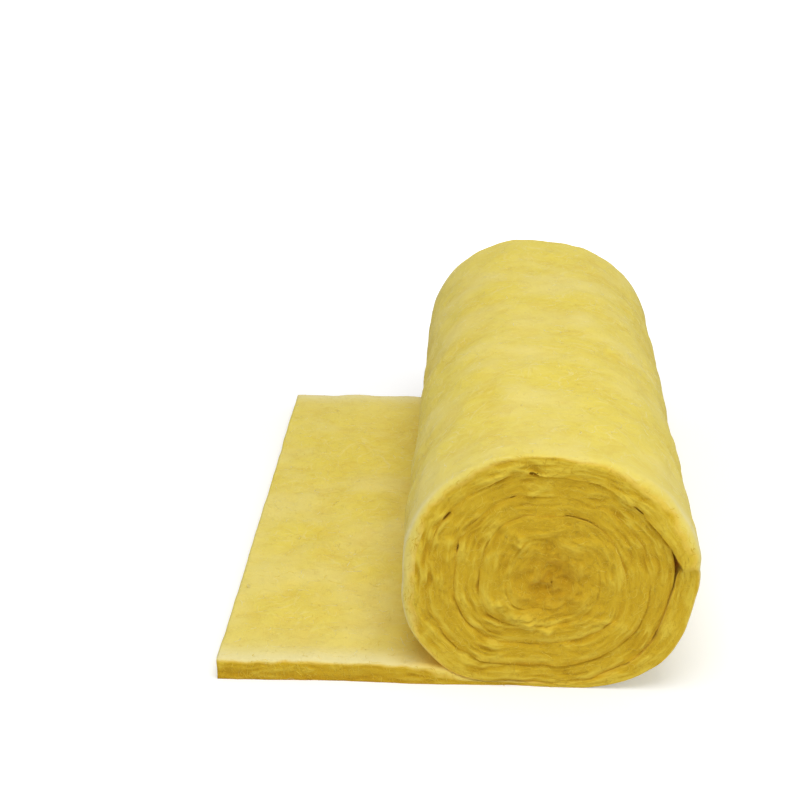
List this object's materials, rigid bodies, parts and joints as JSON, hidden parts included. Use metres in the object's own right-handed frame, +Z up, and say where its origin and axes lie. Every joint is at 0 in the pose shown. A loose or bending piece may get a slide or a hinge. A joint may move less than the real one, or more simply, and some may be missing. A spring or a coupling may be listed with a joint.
{
  "type": "insulation roll",
  "caption": "Roll of yellow glass wool insulation on its side, a soft mat wound in a spiral with its free end laid flat on the floor, for insulating walls, roofs and ducts.",
  "frame": {"origin": "on the floor, under the eye of the winding and halfway along the roll", "axes": "+Z up, +Y along the axis of the roll, -X towards the free end that lies flat on the floor"},
  "size_m": [0.7227, 1.2, 0.3635],
  "materials": {
    "glass_wool": "matt, fibrous and yellow, paler where loose fibres lie on the surface"
  },
  "bodies": {
    "root": {"wool_mat": "glass_wool"}
  },
  "joints": []
}
